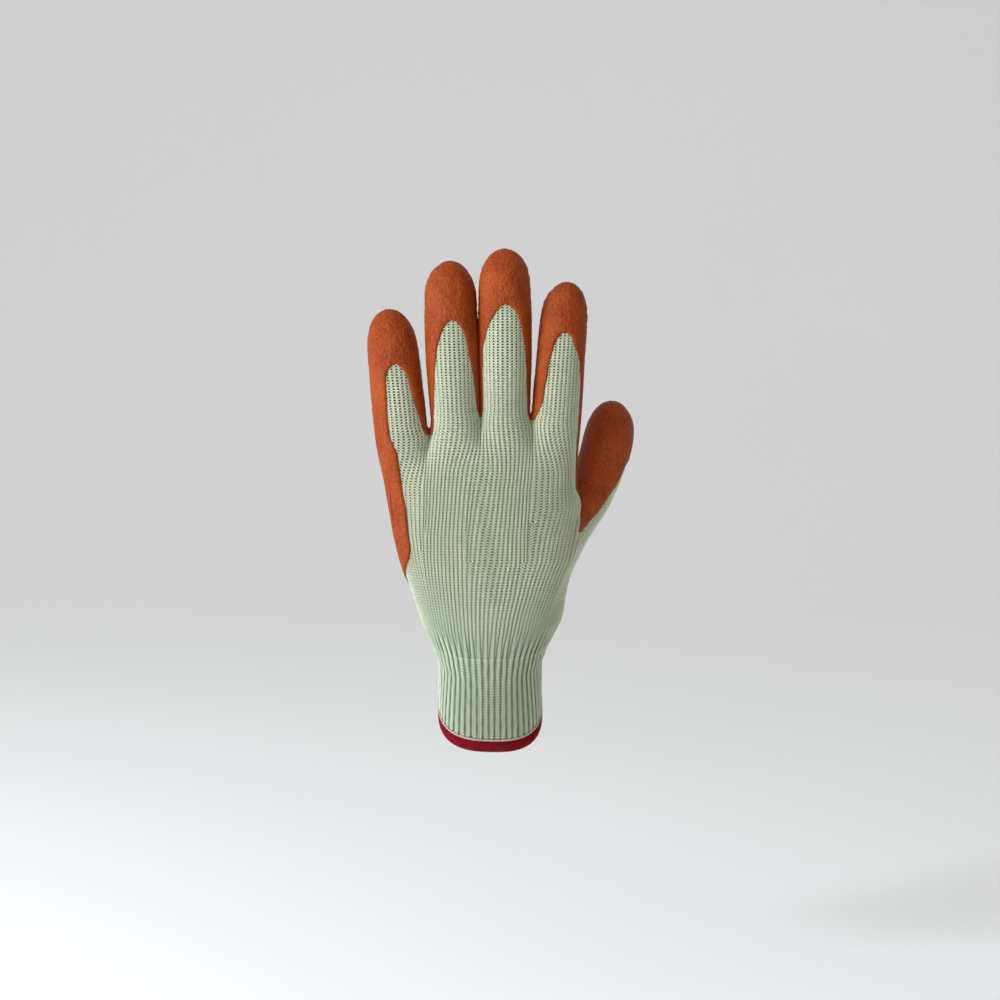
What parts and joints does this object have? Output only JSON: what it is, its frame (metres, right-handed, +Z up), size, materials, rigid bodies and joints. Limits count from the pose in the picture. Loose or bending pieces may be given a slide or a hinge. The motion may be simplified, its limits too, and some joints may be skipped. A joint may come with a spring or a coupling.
{
  "type": "latex coated work glove",
  "caption": "Seamless knitted work glove with crinkle latex over the palm, fingertips and thumb, a ribbed cuff and an overlocked hem.",
  "frame": {"origin": "centre of the wrist opening, at the lower end of the cuff", "axes": "+Z up along the fingers, -Y out of the back of the hand, +X to the thumb's side"},
  "size_m": [0.1272, 0.0548, 0.242],
  "materials": {
    "knit": "matt knit",
    "cuff": "matt ribbed knit",
    "hem": "matt overlock thread",
    "latex": "satin crinkle"
  },
  "bodies": {
    "root": {"finger_little": "knit", "finger_ring": "knit", "finger_middle": "knit", "finger_index": "knit", "thumb": "knit", "hand": "knit", "cuff_rib": "cuff", "cuff_hem": "hem", "latex_coating": "latex"}
  },
  "joints": []
}
